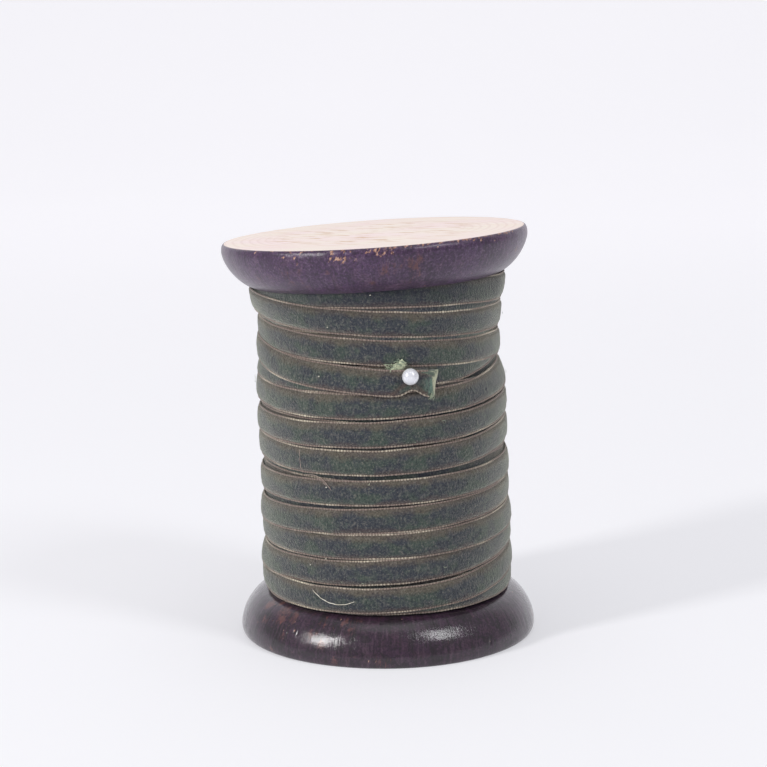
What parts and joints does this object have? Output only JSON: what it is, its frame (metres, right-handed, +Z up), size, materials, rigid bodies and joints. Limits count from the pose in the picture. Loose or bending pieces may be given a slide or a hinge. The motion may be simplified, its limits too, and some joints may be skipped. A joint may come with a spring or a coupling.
{
  "type": "ribbon spool",
  "caption": "Turned wooden spool with two dark stained flanges, wound with narrow velvet ribbon whose free end is held by a pearl-headed pin.",
  "frame": {"origin": "centre of the flat face that the spool stands on", "axes": "+Z up through the spool's height, -Y the front with the pin, +X to the right"},
  "size_m": [0.0786, 0.077, 0.1039],
  "materials": {
    "stained_wood": "worn dark stain, semi-gloss",
    "bare_wood": "bare, dry, handled",
    "velvet": "short pile with a pale selvedge",
    "pin_steel": "bright nickel plate",
    "pearl": "pearlescent gloss"
  },
  "bodies": {
    "spool": {"bottom_flange": "stained_wood", "top_flange": "stained_wood", "core": "bare_wood", "ribbon_inner_layers": "velvet", "ribbon_rising_layer": "velvet", "ribbon_last_layer": "velvet"},
    "pin": {"pin_shank": "pin_steel", "pin_pearl": "pearl"}
  },
  "joints": [
    {"name": "pin_pull", "type": "slide", "parent": "spool", "child": "pin", "axis": [-0.2924, -0.9563, 0], "range_m": [0, 0.04]}
  ]
}
